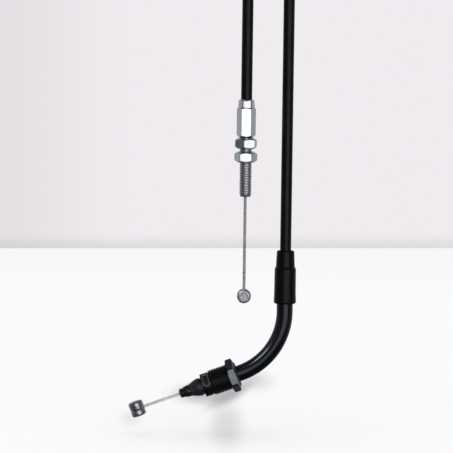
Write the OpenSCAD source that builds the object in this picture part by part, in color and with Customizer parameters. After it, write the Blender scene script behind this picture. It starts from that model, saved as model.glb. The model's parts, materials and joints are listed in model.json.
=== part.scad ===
// Motorcycle throttle cable: a Bowden cable with a bent-pipe throttle end and an M6 adjuster end.
// Millimetres, +Z up, the cable lies in the XZ plane.
// The origin is on the throttle union's axis, where its free thread meets the lock nut.
// Throttle-end parts are drawn along their own axis (distance t forward from the origin).

/* [Outer conduit] */
// Outside diameter of the plastic jacket
conduit_d = 5.5; // [5.4:0.05:5.6]
// Inside diameter of the plastic jacket
jacket_bore_d = 4.0; // [3.9:0.05:4.1]
// Outside diameter of the spiral steel wrap
wrap_d = 3.9; // [3.8:0.05:3.9]
// Inside diameter of the spiral steel wrap
wrap_bore_d = 2.64; // [2.62:0.02:2.7]
// Outside diameter of the conduit's plastic liner
liner_d = 2.56; // [2.5:0.02:2.58]
// Inside diameter of the conduit's plastic liner
liner_bore_d = 1.9; // [1.7:0.05:2]
// Distance between the two legs' centre lines
leg_spacing = 20.35; // [19:0.05:24]
// Height at which the legs leave the straight and start the loop
loop_start_z = 192; // [185:1:230]
// Bend radius of the loop's three arcs
loop_r = 40; // [38:1:60]
// Gap between two stretches of conduit where the cable bends
flex_gap = 1.2; // [1.1:0.05:1.4]
// Height of the bending point in the carburettor leg
leg_flex_z = 165; // [165:1:175]

/* [Inner wire] */
// Diameter of the stranded inner wire
wire_d = 1.5; // [1.3:0.05:1.6]
// How far the inner wire can be drawn out of the throttle end
pull_travel = 25; // [10:1:25]

/* [Bent pipe] */
// Outside diameter of the steel pipe
pipe_d = 8; // [7.8:0.05:8.1]
// Bore of the steel pipe
pipe_bore_d = 5.6; // [5.5:0.05:5.8]
// Bend radius on the pipe's centre line
pipe_bend_r = 33; // [30:0.5:36]
// Angle through which the pipe turns
pipe_bend_angle = 70; // [60:1:80]
// Distance from the end of the bend to the origin
pipe_run = 6.4; // [6:0.1:8]
// Straight pipe above the bend, up to the conduit's cup
pipe_top_run = 15.8; // [14:0.1:18]
// Diameter of the flare at the pipe's front end
flare_d = 9.4; // [9.2:0.05:9.5]
// Outside diameter of the nylon tube inside the pipe
pipe_liner_d = 5.4; // [5.2:0.05:5.45]

/* [Rubber sleeve] */
// Largest diameter of the rubber sleeve
sleeve_d = 10.75; // [10.4:0.05:11.5]
// Diameter above the sleeve's shoulder
sleeve_neck_d = 9; // [8.8:0.05:9.4]
// Diameter at the sleeve's upper lip
sleeve_lip_d = 8.5; // [8.2:0.05:8.8]
// Length of the thick part
sleeve_body_h = 17.3; // [16:0.1:18]
// Whole length of the rubber sleeve
sleeve_h = 26.5; // [25:0.1:28]
// Distance from the bend to the sleeve's lower edge
sleeve_gap = 4; // [2:0.1:5]

/* [Threaded union] */
// Thread diameter of the union
union_thread_d = 12.8; // [12.6:0.05:13]
// Length of free thread in front of the lock nut
union_thread_h = 8.8; // [8:0.1:10]
// Length of thread behind the origin, under the lock nut
union_rear_h = 5.3; // [5:0.1:6]
// Bore of the union, which turns on the pipe
union_bore_d = 8.16; // [8.14:0.02:8.2]
// Diameter of the collar in front of the thread
collar_d = 11.6; // [11.4:0.1:12]
// Length of the collar
collar_h = 3.9; // [3.8:0.1:4.2]
// Angle of the collar's windows about the axis
window_angle = 32; // [0:1:90]
// Width across the flats of the lock nut
lock_nut_af = 15; // [14.5:0.1:16]
// Thickness of the lock nut
lock_nut_h = 4.3; // [4:0.1:4.6]

/* [Wire guide] */
// Diameter of the ring on the plastic nose
ring_d = 8.9; // [8.6:0.1:9.4]
// Distance from the origin to the tip of the dust seal
tip_t = 25.3; // [25:0.1:26]
// Diameter of the dust seal where it leaves the nose
seal_d = 5.9; // [5.6:0.1:6.2]
// Diameter of the dust seal's tip
seal_tip_d = 4.4; // [4.2:0.1:4.8]

/* [Nipples] */
// Diameter of the throttle nipple
throttle_nipple_d = 7.3; // [7:0.1:8]
// Length of the throttle nipple
throttle_nipple_h = 7.3; // [7:0.1:8]
// Distance from the dust seal's tip to the throttle nipple's centre
throttle_nipple_reach = 22.5; // [22:0.5:30]
// Diameter of the carburettor nipple
carb_nipple_d = 6.9; // [6.5:0.1:7.5]
// Length of the carburettor nipple
carb_nipple_h = 6.4; // [6:0.1:7]
// Height of the carburettor nipple's centre
carb_nipple_z = 40.7; // [36:0.1:42]

/* [Adjuster] */
// Thread diameter of the adjuster
adjuster_thread_d = 6; // [6:0.1:6]
// Height of the threaded tube's lower end
adjuster_z = 90.2; // [89:0.1:91]
// Height of the hexagon's lower face
hex_z = 119.4; // [119.4:0.1:120]
// Length of the hexagon
hex_h = 14.8; // [14:0.1:15]
// Width across the flats of the hexagon
hex_af = 8.2; // [8:0.1:9]
// Length of the crimped collar above the hexagon
crimp_h = 4.2; // [4:0.1:4.5]
// Width across the flats of the two nuts
nut_af = 10; // [10:0.1:10]
// Thickness of the two nuts
nut_h = 5.4; // [5:0.1:5.4]
// Height of the upper nut's lower face
upper_nut_z = 113.8; // [113.8:0.1:114]
// Height of the lower nut's lower face
lower_nut_z = 107.1; // [107:0.1:107.2]

/* [Hidden] */

$fn = 64;
cut = 0.02;          // overshoot of cutting tools
thread_clear = 0.04; // radial clearance of a nut's bore over the thread's crest
thin_thread = 0.18;  // a thread under a nut is drawn this much smaller in radius
tilt = 90 - pipe_bend_angle;

// Right leg and bend, from the end of the bend upwards
bend_end = pipe_run * [cos(tilt), sin(tilt)];
bend_centre = bend_end + pipe_bend_r * [-sin(tilt), cos(tilt)];
right_x = bend_centre[0] + pipe_bend_r;
left_x = right_x - leg_spacing;
pipe_top_z = bend_centre[1] + pipe_top_run;
cup_floor = 1;
cup_h = 11;
cup_d = conduit_d + 1.5;
conduit_z = pipe_top_z + cup_floor + 0.1;
sleeve_z = bend_centre[1] + sleeve_gap;

// Loop: a reverse arc on each leg and one long arc over the top
loop_phi = acos((leg_spacing / 2 + loop_r) / (2 * loop_r));
loop_x = (left_x + right_x) / 2;
loop_z = loop_start_z + 2 * loop_r * sin(loop_phi);
loop_sweep = 180 + 2 * loop_phi;
gap_angle = flex_gap / loop_r * 180 / PI;
arc_seam = 0.03;     // degrees between two arcs, so that they stay two clean solids

// Throttle end, measured forward along its axis
flare_h = 1.4;
flare_t = 5.2;
pipe_end_t = flare_t + flare_h;
groove_h = 0.4;
collar_t = union_thread_h + groove_h;
collar_end_t = collar_t + collar_h;
ring_t = collar_end_t + 1;
taper_end_t = tip_t - 5.7;
nipple_t = tip_t + throttle_nipple_reach;
wire_grip = pull_travel + 1.5;
window_length = 6;
window_width = 2.5;
window_t = collar_t + window_width / 2 + 0.35;
socket_r = 4.8;

// Adjuster
socket_z = hex_z + 2.6;
crimp_z = hex_z + hex_h;
crimp_top_z = crimp_z + crimp_h;
carb_wire_top_z = leg_flex_z - pull_travel - 2;
upper_nut_angle = 20;

// Points a cylinder's +Z along the throttle axis, t forward from the origin
module along_throttle(t = 0) {
    rotate([0, -90 - tilt, 0]) translate([0, 0, t]) children();
}

// Straight tube from height 0 to h
module tube(outer_d, inner_d, h) {
    difference() {
        cylinder(d = outer_d, h = h);
        translate([0, 0, -cut]) cylinder(d = inner_d, h = h + 2 * cut);
    }
}

// Upright tube or bar between two heights on a leg
module leg_tube(x, z0, z1, outer_d, inner_d) {
    translate([x, 0, z0])
        if (inner_d > 0) tube(outer_d, inner_d, z1 - z0);
        else cylinder(d = outer_d, h = z1 - z0);
}

// Bent bar or tube round the local Z axis, starting at +X
module arc(r, sweep, outer_d, inner_d) {
    rotate_extrude(angle = sweep)
        translate([r, 0])
            difference() {
                circle(d = outer_d);
                if (inner_d > 0) circle(d = inner_d);
            }
}

// A leg of the given length below the origin, its reverse arc to the right and a quarter of the loop
module leg_and_loop(leg_h, outer_d, inner_d) {
    leg_tube(0, -leg_h, 0, outer_d, inner_d);
    translate([loop_r, 0, 0])
        rotate([90, 0, 0]) {
            rotate([0, 0, 180]) arc(loop_r, -loop_phi, outer_d, inner_d);
            rotate([0, 0, 180 - loop_phi])
                translate([2 * loop_r, 0, 0])
                    rotate([0, 0, 180 + arc_seam])
                        arc(loop_r, loop_sweep / 4 - gap_angle / 2 - arc_seam, outer_d, inner_d);
        }
}

// Stretch i of one conduit layer: 1 throttle leg, 2 and 3 loop, 4 carburettor leg, 5 above the adjuster
module conduit_stretch(i, outer_d, inner_d, low_z) {
    if (i == 1)
        translate([right_x, 0, loop_start_z]) leg_and_loop(loop_start_z - low_z, outer_d, inner_d);
    if (i == 2 || i == 3)
        translate([loop_x, 0, loop_z])
            rotate([90, 0, 0])
                rotate([0, 0, -loop_phi + (i - 1) * loop_sweep / 4 + gap_angle / 2])
                    arc(loop_r, loop_sweep / 4 - gap_angle, outer_d, inner_d);
    if (i == 4)
        translate([left_x, 0, loop_start_z])
            mirror([1, 0, 0])
                leg_and_loop(loop_start_z - leg_flex_z - flex_gap / 2, outer_d, inner_d);
    if (i == 5) leg_tube(left_x, low_z, leg_flex_z - flex_gap / 2, outer_d, inner_d);
}

// Nut whose corners are turned down to face_r at both faces; bevel is the cone's rise per mm of radius
module nut(af, h, bore_r, face_r, bevel) {
    corner_r = af / 2 / cos(30);
    turned_h = (corner_r + cut - face_r) * bevel;
    difference() {
        intersection() {
            cylinder(r = corner_r, h = h, $fn = 6);
            rotate_extrude()
                polygon([
                    [0, 0], [face_r, 0], [corner_r + cut, turned_h],
                    [corner_r + cut, h - turned_h], [face_r, h], [0, h]
                ]);
        }
        translate([0, 0, -cut]) cylinder(r = bore_r, h = h + 2 * cut);
    }
}

// Bar that follows the pipe from its top to its front end, longer by "over" at both ends
module elbow_path(d, over) {
    translate([bend_centre[0], 0, bend_centre[1]])
        rotate([90, 0, 0]) {
            translate([pipe_bend_r, 0, 0])
                rotate([-90, 0, 0]) cylinder(d = d, h = pipe_top_run + over);
            rotate_extrude(angle = -pipe_bend_angle) translate([pipe_bend_r, 0]) circle(d = d);
            rotate([0, 0, -pipe_bend_angle])
                translate([pipe_bend_r, 0, 0])
                    rotate([90, 0, 0]) cylinder(d = d, h = pipe_run + pipe_end_t + over);
        }
}

module elbow_pipe() {
    color("#16181d")
        difference() {
            union() {
                elbow_path(pipe_d, 0);
                along_throttle(flare_t) cylinder(d = flare_d, h = flare_h);
            }
            elbow_path(pipe_bore_d, 1);
        }
}

module elbow_liner() {
    color("#d9d6cc")
        difference() {
            elbow_path(pipe_liner_d, 0);
            elbow_path(liner_bore_d, 1);
        }
}

module joint_sleeve() {
    edge = 0.8;
    shoulder = 1.4;
    grip_clear = 0.03;
    cup_z = pipe_top_z - sleeve_z;
    color("#141414")
        translate([right_x, 0, sleeve_z])
            difference() {
                rotate_extrude()
                    polygon([
                        [0, 0], [sleeve_d / 2 - edge, 0], [sleeve_d / 2, edge],
                        [sleeve_d / 2, sleeve_body_h - edge],
                        [sleeve_d / 2 - edge / 2, sleeve_body_h],
                        [sleeve_neck_d / 2, sleeve_body_h + shoulder],
                        [sleeve_lip_d / 2, sleeve_h - edge / 2],
                        [sleeve_lip_d / 2 - edge / 2, sleeve_h], [0, sleeve_h]
                    ]);
                translate([0, 0, -cut]) cylinder(r = pipe_d / 2 + grip_clear, h = cup_z + 2 * cut);
                translate([0, 0, cup_z]) cylinder(r = cup_d / 2 + grip_clear, h = cup_h + 0.1);
                translate([0, 0, cup_z]) cylinder(r = conduit_d / 2 + grip_clear, h = sleeve_h);
            }
}

module conduit_cup() {
    color("#9a9c9e")
        translate([right_x, 0, pipe_top_z + 0.05])
            difference() {
                cylinder(d = cup_d, h = cup_h);
                translate([0, 0, cup_floor]) cylinder(d = conduit_d + 0.04, h = cup_h);
                translate([0, 0, -cut]) cylinder(d = liner_bore_d + 0.4, h = cup_floor + 2 * cut);
            }
}

// Rounded window cut radially, its length across the axis
module window(length, width, depth) {
    for (side = [-1, 1])
        translate([side * (length - width) / 2, 0, 0]) rotate([90, 0, 0]) cylinder(d = width, h = depth);
    translate([-(length - width) / 2, -depth, -width / 2]) cube([length - width, depth, width]);
}

module threaded_sleeve() {
    thread_r = union_thread_d / 2;
    color("#17171a")
        along_throttle()
            difference() {
                union() {
                    translate([0, 0, -union_rear_h]) cylinder(r = thread_r - thin_thread, h = union_rear_h);
                    cylinder(r = thread_r, h = union_thread_h);
                    translate([0, 0, union_thread_h]) cylinder(r = collar_d / 2 - 0.4, h = groove_h);
                    translate([0, 0, collar_t]) cylinder(r = collar_d / 2, h = collar_h);
                }
                translate([0, 0, -union_rear_h - cut]) cylinder(d = union_bore_d, h = union_rear_h + flare_t);
                translate([0, 0, flare_t - 0.2]) cylinder(r = socket_r, h = tip_t);
                for (turn = [0, 180])
                    rotate([0, 0, window_angle + turn])
                        translate([0, 0, window_t]) window(window_length, window_width, collar_d);
            }
}

module throttle_lock_nut() {
    color("#2b3038")
        along_throttle(-0.5 - lock_nut_h)
            nut(lock_nut_af, lock_nut_h, union_thread_d / 2 + thread_clear, 0.44 * lock_nut_af, 0.5);
}

module wire_guide() {
    plug_t = pipe_end_t + 0.2;
    plug_r = socket_r - 0.05;
    neck_r = ring_d / 2 - 0.5;
    shoulder_r = ring_d / 2 - 0.8;
    shoulder_t = taper_end_t - 1.4;
    spigot_r = 1.7;
    pad_clear = 0.15;
    color("#1b1a20")
        along_throttle()
            difference() {
                union() {
                    translate([0, 0, plug_t]) cylinder(r = plug_r, h = collar_end_t - plug_t);
                    rotate_extrude()
                        polygon([
                            [0, collar_end_t - cut], [neck_r, collar_end_t - cut], [neck_r, ring_t],
                            [ring_d / 2, ring_t], [ring_d / 2, ring_t + 1.2], [shoulder_r, shoulder_t],
                            [shoulder_r - 0.3, shoulder_t + 0.2], [shoulder_r - 0.4, taper_end_t],
                            [spigot_r, taper_end_t], [spigot_r, tip_t - 1.8], [0, tip_t - 1.8]
                        ]);
                    intersection() {
                        translate([0, 0, collar_t]) cylinder(r = collar_d / 2 - 0.45, h = collar_h);
                        for (turn = [0, 180])
                            rotate([0, 0, window_angle + turn])
                                translate([0, 0, window_t])
                                    window(
                                        window_length - 2 * pad_clear, window_width - 2 * pad_clear,
                                        collar_d
                                    );
                    }
                }
                translate([0, 0, plug_t - cut]) cylinder(d = liner_bore_d, h = tip_t);
            }
}

module dust_seal() {
    seal_t = taper_end_t + 0.2;
    lugs = 6;
    color("#121214")
        along_throttle()
            difference() {
                union() {
                    rotate_extrude()
                        polygon([
                            [0, seal_t], [seal_d / 2, seal_t], [seal_d / 2, seal_t + 1.6],
                            [seal_tip_d / 2 + 0.2, seal_t + 2], [seal_tip_d / 2, tip_t - 0.3],
                            [seal_tip_d / 2 - 0.3, tip_t], [0, tip_t]
                        ]);
                    for (i = [0:lugs - 1])
                        rotate([0, 0, i * 360 / lugs])
                            translate([0, -0.4, seal_t + 1.2])
                                cube([seal_tip_d / 2 + 0.45, 0.8, 2.2]);
                }
                translate([0, 0, seal_t - cut]) cylinder(r = 1.73, h = tip_t - 1.6 - seal_t);
                cylinder(d = wire_d + 0.2, h = tip_t + 1);
            }
}

module throttle_wire() {
    color("#b9bcc0")
        along_throttle(tip_t - wire_grip) cylinder(d = wire_d, h = wire_grip + throttle_nipple_reach + 1);
}

// Barrel with a groove round its middle and a shallow dish in both ends, its axis along Z
module barrel(d, h) {
    half = h / 2;
    r = d / 2;
    edge = 0.35;
    groove = 0.8;
    dish_r = 0.5 * r;
    dish_deep = 0.4;
    rotate_extrude()
        polygon([
            [0, -half + dish_deep], [dish_r, -half], [r - edge, -half], [r, -half + edge],
            [r, -groove], [r - groove, 0], [r, groove],
            [r, half - edge], [r - edge, half], [dish_r, half], [0, half - dish_deep]
        ]);
}

module throttle_nipple() {
    hole_h = throttle_nipple_d / 2 + 1.2;
    color("#a4a7aa")
        along_throttle(nipple_t)
            difference() {
                rotate([0, 90, 0]) barrel(throttle_nipple_d, throttle_nipple_h);
                translate([0, 0, 1.2 - hole_h]) cylinder(d = wire_d + 0.04, h = hole_h);
            }
}

module jacket(i) {
    low_z = i == 1 ? conduit_z : socket_z + 0.1;
    color("#1a1a1c") conduit_stretch(i, conduit_d, jacket_bore_d, low_z);
}

module wrap(i) {
    low_z = i == 1 ? conduit_z : socket_z + 0.1;
    color("#8d9094") conduit_stretch(i, wrap_d, wrap_bore_d, low_z);
}

module liner(i) {
    low_z = i == 1 ? conduit_z : socket_z + 0.1;
    color("#e4e0d4") conduit_stretch(i, liner_d, liner_bore_d, low_z);
}

module core(i) {
    color("#b9bcc0") {
        conduit_stretch(i, wire_d, 0, bend_centre[1]);
        if (i == 1)
            translate([bend_centre[0], 0, bend_centre[1] - cut])
                rotate([90, 0, 0]) arc(pipe_bend_r, -pipe_bend_angle, wire_d, 0);
    }
}

module adjuster() {
    edge = 0.5;
    thread_r = adjuster_thread_d / 2;
    free_top_z = lower_nut_z - 0.5;
    crimp_r = hex_af / 2 - 0.1;
    color("#c9ccd0")
        translate([left_x, 0, 0])
            difference() {
                union() {
                    rotate_extrude()
                        polygon([
                            [0, adjuster_z], [thread_r - edge, adjuster_z], [thread_r, adjuster_z + edge],
                            [thread_r, free_top_z], [thread_r - thin_thread, free_top_z],
                            [thread_r - thin_thread, hex_z + cut], [0, hex_z + cut]
                        ]);
                    translate([0, 0, hex_z]) cylinder(d = hex_af / cos(30), h = hex_h, $fn = 6);
                    rotate_extrude()
                        polygon([
                            [0, crimp_z - cut], [crimp_r, crimp_z - cut], [crimp_r, crimp_z + 0.4],
                            [crimp_r - 0.4, crimp_top_z - 0.4], [crimp_r - 0.8, crimp_top_z],
                            [0, crimp_top_z]
                        ]);
                }
                translate([0, 0, adjuster_z - cut]) cylinder(d = 3.1, h = hex_h + hex_z - adjuster_z);
                translate([0, 0, socket_z]) cylinder(d = conduit_d + 0.1, h = hex_h + crimp_h);
            }
}

module adjuster_liner() {
    color("#e4e0d4")
        leg_tube(left_x, adjuster_z + 0.3, socket_z, 3, liner_bore_d);
}

module adjuster_nut() {
    nut(nut_af, nut_h, adjuster_thread_d / 2 + thread_clear, 0.39 * nut_af, 0.65);
}

module upper_nut() {
    color("#c3c6ca")
        translate([left_x, 0, upper_nut_z])
            rotate([0, 0, upper_nut_angle]) adjuster_nut();
}

module lower_nut() {
    color("#c3c6ca")
        translate([left_x, 0, lower_nut_z]) adjuster_nut();
}

module carb_wire() {
    low_z = carb_nipple_z - 1;
    color("#b9bcc0")
        leg_tube(left_x, low_z, carb_wire_top_z, wire_d, 0);
}

module carb_nipple() {
    color("#a9acaf")
        translate([left_x, 0, carb_nipple_z])
            difference() {
                rotate([90, 0, 0]) rotate([0, 0, 90]) barrel(carb_nipple_d, carb_nipple_h);
                translate([0, 0, -1.2]) cylinder(d = wire_d + 0.04, h = carb_nipple_d);
            }
}

elbow_pipe();
elbow_liner();
joint_sleeve();
conduit_cup();
threaded_sleeve();
throttle_lock_nut();
wire_guide();
dust_seal();
throttle_wire();
throttle_nipple();
jacket(1);  // jacket_1
jacket(2);  // jacket_2
jacket(3);  // jacket_3
jacket(4);  // jacket_4
jacket(5);  // jacket_5
wrap(1);  // wrap_1
wrap(2);  // wrap_2
wrap(3);  // wrap_3
wrap(4);  // wrap_4
wrap(5);  // wrap_5
liner(1);  // liner_1
liner(2);  // liner_2
liner(3);  // liner_3
liner(4);  // liner_4
liner(5);  // liner_5
core(1);  // core_1
core(2);  // core_2
core(3);  // core_3
core(4);  // core_4
adjuster();
adjuster_liner();
upper_nut();
lower_nut();
carb_wire();
carb_nipple();
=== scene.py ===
import json
import math

import bmesh
import bpy
from mathutils import Matrix, Vector


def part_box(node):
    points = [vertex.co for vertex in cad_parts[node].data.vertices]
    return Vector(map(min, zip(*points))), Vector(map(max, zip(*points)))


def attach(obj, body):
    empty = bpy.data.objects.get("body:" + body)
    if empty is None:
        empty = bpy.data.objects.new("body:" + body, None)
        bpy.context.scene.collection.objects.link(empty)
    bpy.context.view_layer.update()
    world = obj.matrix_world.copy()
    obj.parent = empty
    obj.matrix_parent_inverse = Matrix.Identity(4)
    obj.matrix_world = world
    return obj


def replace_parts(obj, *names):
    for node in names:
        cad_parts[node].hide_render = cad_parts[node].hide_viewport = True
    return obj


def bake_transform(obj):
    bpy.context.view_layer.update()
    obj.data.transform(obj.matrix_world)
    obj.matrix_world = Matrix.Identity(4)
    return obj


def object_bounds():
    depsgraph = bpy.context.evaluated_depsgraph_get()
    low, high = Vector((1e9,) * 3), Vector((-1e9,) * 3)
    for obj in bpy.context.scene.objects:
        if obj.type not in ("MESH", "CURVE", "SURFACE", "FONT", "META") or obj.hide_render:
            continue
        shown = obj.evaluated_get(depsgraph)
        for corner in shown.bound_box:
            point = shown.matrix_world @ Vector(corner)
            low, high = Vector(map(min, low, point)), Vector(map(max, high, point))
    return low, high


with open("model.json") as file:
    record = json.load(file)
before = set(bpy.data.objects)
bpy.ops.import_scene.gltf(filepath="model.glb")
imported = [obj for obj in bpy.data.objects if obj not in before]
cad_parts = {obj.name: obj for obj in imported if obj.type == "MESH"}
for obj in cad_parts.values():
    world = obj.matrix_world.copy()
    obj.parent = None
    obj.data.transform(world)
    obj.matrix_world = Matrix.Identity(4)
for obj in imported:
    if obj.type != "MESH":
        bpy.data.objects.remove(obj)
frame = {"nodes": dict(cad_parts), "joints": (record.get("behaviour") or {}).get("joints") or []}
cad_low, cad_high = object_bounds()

MM = 0.001
TAU = 2 * math.pi
TINY = 1e-9

# ---- Places taken from the frame ----
joints = {j["name"]: j for j in frame["joints"]}

origin = Vector(joints["union_swivel"]["pos_m"])
throttle_dir = Vector(joints["throttle_pull"]["axis"]).normalized()
throttle_up = Vector((throttle_dir.z, 0, -throttle_dir.x))
tilt = math.asin(-throttle_dir.z)


def middle(node):
    low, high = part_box(node)
    return (low + high) / 2


right_x = middle("conduit_cup").x
left_x = middle("jacket_5").x
adjuster_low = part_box("adjuster")[0].z
adjuster_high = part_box("adjuster")[1].z
sleeve_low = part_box("joint_sleeve")[0].z
sleeve_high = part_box("joint_sleeve")[1].z
cup_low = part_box("conduit_cup")[0].z
leg_flex_z = joints["flex_4"]["pos_m"][2]
nipple_reach = (middle("throttle_nipple") - origin).dot(throttle_dir)
carb_nipple_z = middle("carb_nipple").z


class Axis:
    """A straight axis. A point is given by its distance along it, its radius and its angle."""

    def __init__(self, start, along, across):
        self.start, self.along, self.across = start, along, across
        self.depth = along.cross(across)

    def point(self, t, r, angle):
        out = self.across * math.cos(angle) + self.depth * math.sin(angle)
        return self.start + self.along * t + out * r


throttle_axis = Axis(origin, throttle_dir, throttle_up)
right_leg = Axis(Vector((right_x, 0, 0)), Vector((0, 0, 1)), Vector((1, 0, 0)))
left_leg = Axis(Vector((left_x, 0, 0)), Vector((0, 0, 1)), Vector((1, 0, 0)))
CAMERA_SIDE = -math.pi / 2  # the angle that faces the camera on all three axes


# ---- Centre line of the cable, from the pipe's front end to the adjuster ----
PIPE_BEND_R = 33 * MM
LOOP_R = 40 * MM
PIPE_FRONT = 6.6 * MM  # the pipe ends this far in front of the origin, inside the union


class Path:
    """Lines and arcs in the XZ plane, joined end to end."""

    def __init__(self, x, z, heading):
        self.parts, self.length = [], 0.0
        self.x, self.z, self.heading = x, z, heading

    def add(self, length, radius=0.0):
        """radius above 0 turns left, below 0 turns right, 0 goes straight."""
        self.parts.append((self.length, radius, self.x, self.z, self.heading))
        self.x, self.z, self.heading = self._along(self.parts[-1], length)
        self.length += length
        return self.length

    @staticmethod
    def _along(part, s):
        _, radius, x, z, heading = part
        if radius == 0:
            return x + s * math.cos(heading), z + s * math.sin(heading), heading
        turned = heading + s / radius
        x += radius * (math.sin(turned) - math.sin(heading))
        z -= radius * (math.cos(turned) - math.cos(heading))
        return x, z, turned

    def at(self, s):
        """Point and left normal at distance s."""
        part = next(p for p in reversed(self.parts) if s >= p[0] - TINY)
        x, z, heading = self._along(part, s - part[0])
        return Vector((x, 0, z)), Vector((-math.sin(heading), 0, math.cos(heading)))


def cable_path():
    """The whole centre line, with the distances of its landmarks."""
    front = origin + throttle_dir * PIPE_FRONT
    path = Path(front.x, front.z, tilt)
    bend = math.pi / 2 - tilt
    corner = (right_x - origin.x) / math.cos(tilt)
    straight = corner - PIPE_BEND_R * math.tan(bend / 2)
    path.add(straight + PIPE_FRONT)
    marks = {"bend_end": path.add(PIPE_BEND_R * bend, PIPE_BEND_R), "leg_base_z": path.z}
    spacing = right_x - left_x
    phi = math.acos((spacing / 2 + LOOP_R) / (2 * LOOP_R))
    loop_top = joints["flex_2"]["pos_m"][2]
    loop_start_z = loop_top - LOOP_R - 2 * LOOP_R * math.sin(phi)
    path.add(loop_start_z - path.z)
    marks["loop"] = path.add(LOOP_R * phi, -LOOP_R)
    marks["quarter"] = LOOP_R * (math.pi + 2 * phi) / 4
    path.add(4 * marks["quarter"], LOOP_R)
    marks["left_top"] = path.add(LOOP_R * phi, -LOOP_R)
    marks["loop_start_z"] = loop_start_z
    path.add(loop_start_z - adjuster_low)
    return path, marks


cable, marks = cable_path()


def right_leg_s(z):
    return marks["bend_end"] + z - marks["leg_base_z"]


def left_leg_s(z):
    return marks["left_top"] + marks["loop_start_z"] - z


# ---- Mesh tools ----
def skin(rings, wrap):
    """Vertices and quads over rings of equal length. wrap joins the last ring to the first."""
    count = len(rings[0])
    verts = [p for ring in rings for p in ring]
    faces = []
    last = len(rings) if wrap else len(rings) - 1
    for i in range(last):
        a, b = i * count, (i + 1) % len(rings) * count
        for k in range(count):
            n = (k + 1) % count
            faces.append((a + k, a + n, b + n, b + k))
    if not wrap:
        faces.append(tuple(range(count))[::-1])
        faces.append(tuple((len(rings) - 1) * count + k for k in range(count)))
    return verts, faces


def even_angles(around):
    return [TAU * k / around for k in range(around)]


def lathe(axis, profile, angles, wrap=True):
    """Rings round an axis. A profile entry is (t, r) or a function of the angle that gives them."""
    rings = []
    for entry in profile:
        ring = []
        for angle in angles:
            t, r = entry(angle) if callable(entry) else entry
            ring.append(axis.point(t, r, angle))
        rings.append(ring)
    return skin(rings, wrap)


def rounded(points, steps=4):
    """A profile whose corners (t, r, fillet) are replaced by arcs. A corner without a fillet stays."""
    out = []
    for i, corner in enumerate(points):
        if callable(corner) or len(corner) == 2:
            out.append(corner)
            continue
        here = Vector(corner[:2])
        before = Vector(points[i - 1][:2]) - here
        after = Vector(points[(i + 1) % len(points)][:2]) - here
        half = before.angle(after) / 2
        reach = corner[2] / math.tan(half)
        between = (before.normalized() + after.normalized()).normalized()
        centre = here + between * corner[2] / math.sin(half)
        first = here + before.normalized() * reach - centre
        last = here + after.normalized() * reach - centre
        turn = first.angle_signed(last)
        for k in range(steps + 1):
            share = k / steps
            spun = Matrix.Rotation(-turn * share, 2) @ first
            out.append(tuple(centre + spun))
    return out


def joined(*shapes):
    """Several (verts, faces) as one."""
    verts, faces = [], []
    for some_verts, some_faces in shapes:
        base = len(verts)
        verts += some_verts
        faces += [tuple(base + i for i in face) for face in some_faces]
    return verts, faces


def face_outwards(mesh):
    bm = bmesh.new()
    bm.from_mesh(mesh)
    bmesh.ops.recalc_face_normals(bm, faces=bm.faces)
    bm.to_mesh(mesh)
    bm.free()


SHARP = 32  # degrees between faces above which an edge is drawn sharp


def piece(name, shape, material, sharp=SHARP):
    """A smooth-shaded object with faces that look outwards and sharp edges above the angle."""
    mesh = bpy.data.meshes.new(name)
    mesh.from_pydata([tuple(v) for v in shape[0]], [], shape[1])
    mesh.validate()
    obj = bpy.data.objects.new(name, mesh)
    bpy.context.scene.collection.objects.link(obj)
    face_outwards(mesh)
    mesh.shade_smooth()
    mesh.set_sharp_from_angle(angle=math.radians(sharp))
    mesh.materials.append(material)
    return obj


def stand_in(obj, body, node):
    """Puts a piece on its body, in the place of a CAD node."""
    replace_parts(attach(obj, body), node)


def sweep(path, s0, s1, radius, bore, around=32, step=1.2 * MM):
    """A tube along a stretch of the path."""
    count = max(2, math.ceil((s1 - s0) / step) + 1)
    stations = [s0 + (s1 - s0) * i / (count - 1) for i in range(count)]

    def ring(s, r):
        centre, left = path.at(s)
        side = Vector((0, 1, 0))
        return [centre + (left * math.cos(a) + side * math.sin(a)) * r for a in even_angles(around)]

    rings = [ring(s, radius) for s in stations]
    rings += [ring(s, bore) for s in reversed(stations)]
    return skin(rings, True)


# ---- Threads and hexagons ----
PITCH = 1.25 * MM
UNION_THREAD_DEPTH = 0.36 * MM
M6_THREAD_DEPTH = 0.42 * MM
ROOT_SHARE = 0.1  # of half a pitch
FLANK_SHARE = 0.55
ROWS_PER_PITCH = 14


def crest_share(t, angle):
    """1 on the crest of a right-hand thread and 0 at its root."""
    phase = (t / PITCH - angle / TAU) % 1.0
    height = (abs(phase - 0.5) * 2 - ROOT_SHARE) / FLANK_SHARE
    return min(1.0, max(0.0, height))


def thread_rows(t0, t1, r, depth, start_fade, end_fade):
    """Profile entries of a thread with crest radius r that fades to its root at both ends."""
    count = round((t1 - t0) / PITCH * ROWS_PER_PITCH)
    rows = []
    for i in range(count + 1):
        t = t0 + (t1 - t0) * i / count
        fade = min(1.0, (t - t0) / start_fade, (t1 - t) / end_fade)
        rows.append(thread_row(t, r, depth, fade))
    return rows


def thread_row(t, r, depth, fade):
    def row(angle):
        return t, r - depth * (1 - crest_share(t, angle) * fade)

    return row


def hex_angles(phase, blunt=math.radians(1.6), per_flat=11):
    """Angles round a hexagon, with one on each side of a corner to blunt it."""
    angles = []
    for side in range(6):
        start = phase + side * TAU / 6 + blunt
        span = TAU / 6 - 2 * blunt
        angles += [start + span * k / per_flat for k in range(per_flat + 1)]
    return angles


def hex_radius(angle, across_flats, phase):
    """Radius of a hexagon. phase is the angle of one corner."""
    from_flat = (angle - phase) % (TAU / 6) - TAU / 12
    return across_flats / 2 / math.cos(from_flat)


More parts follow.
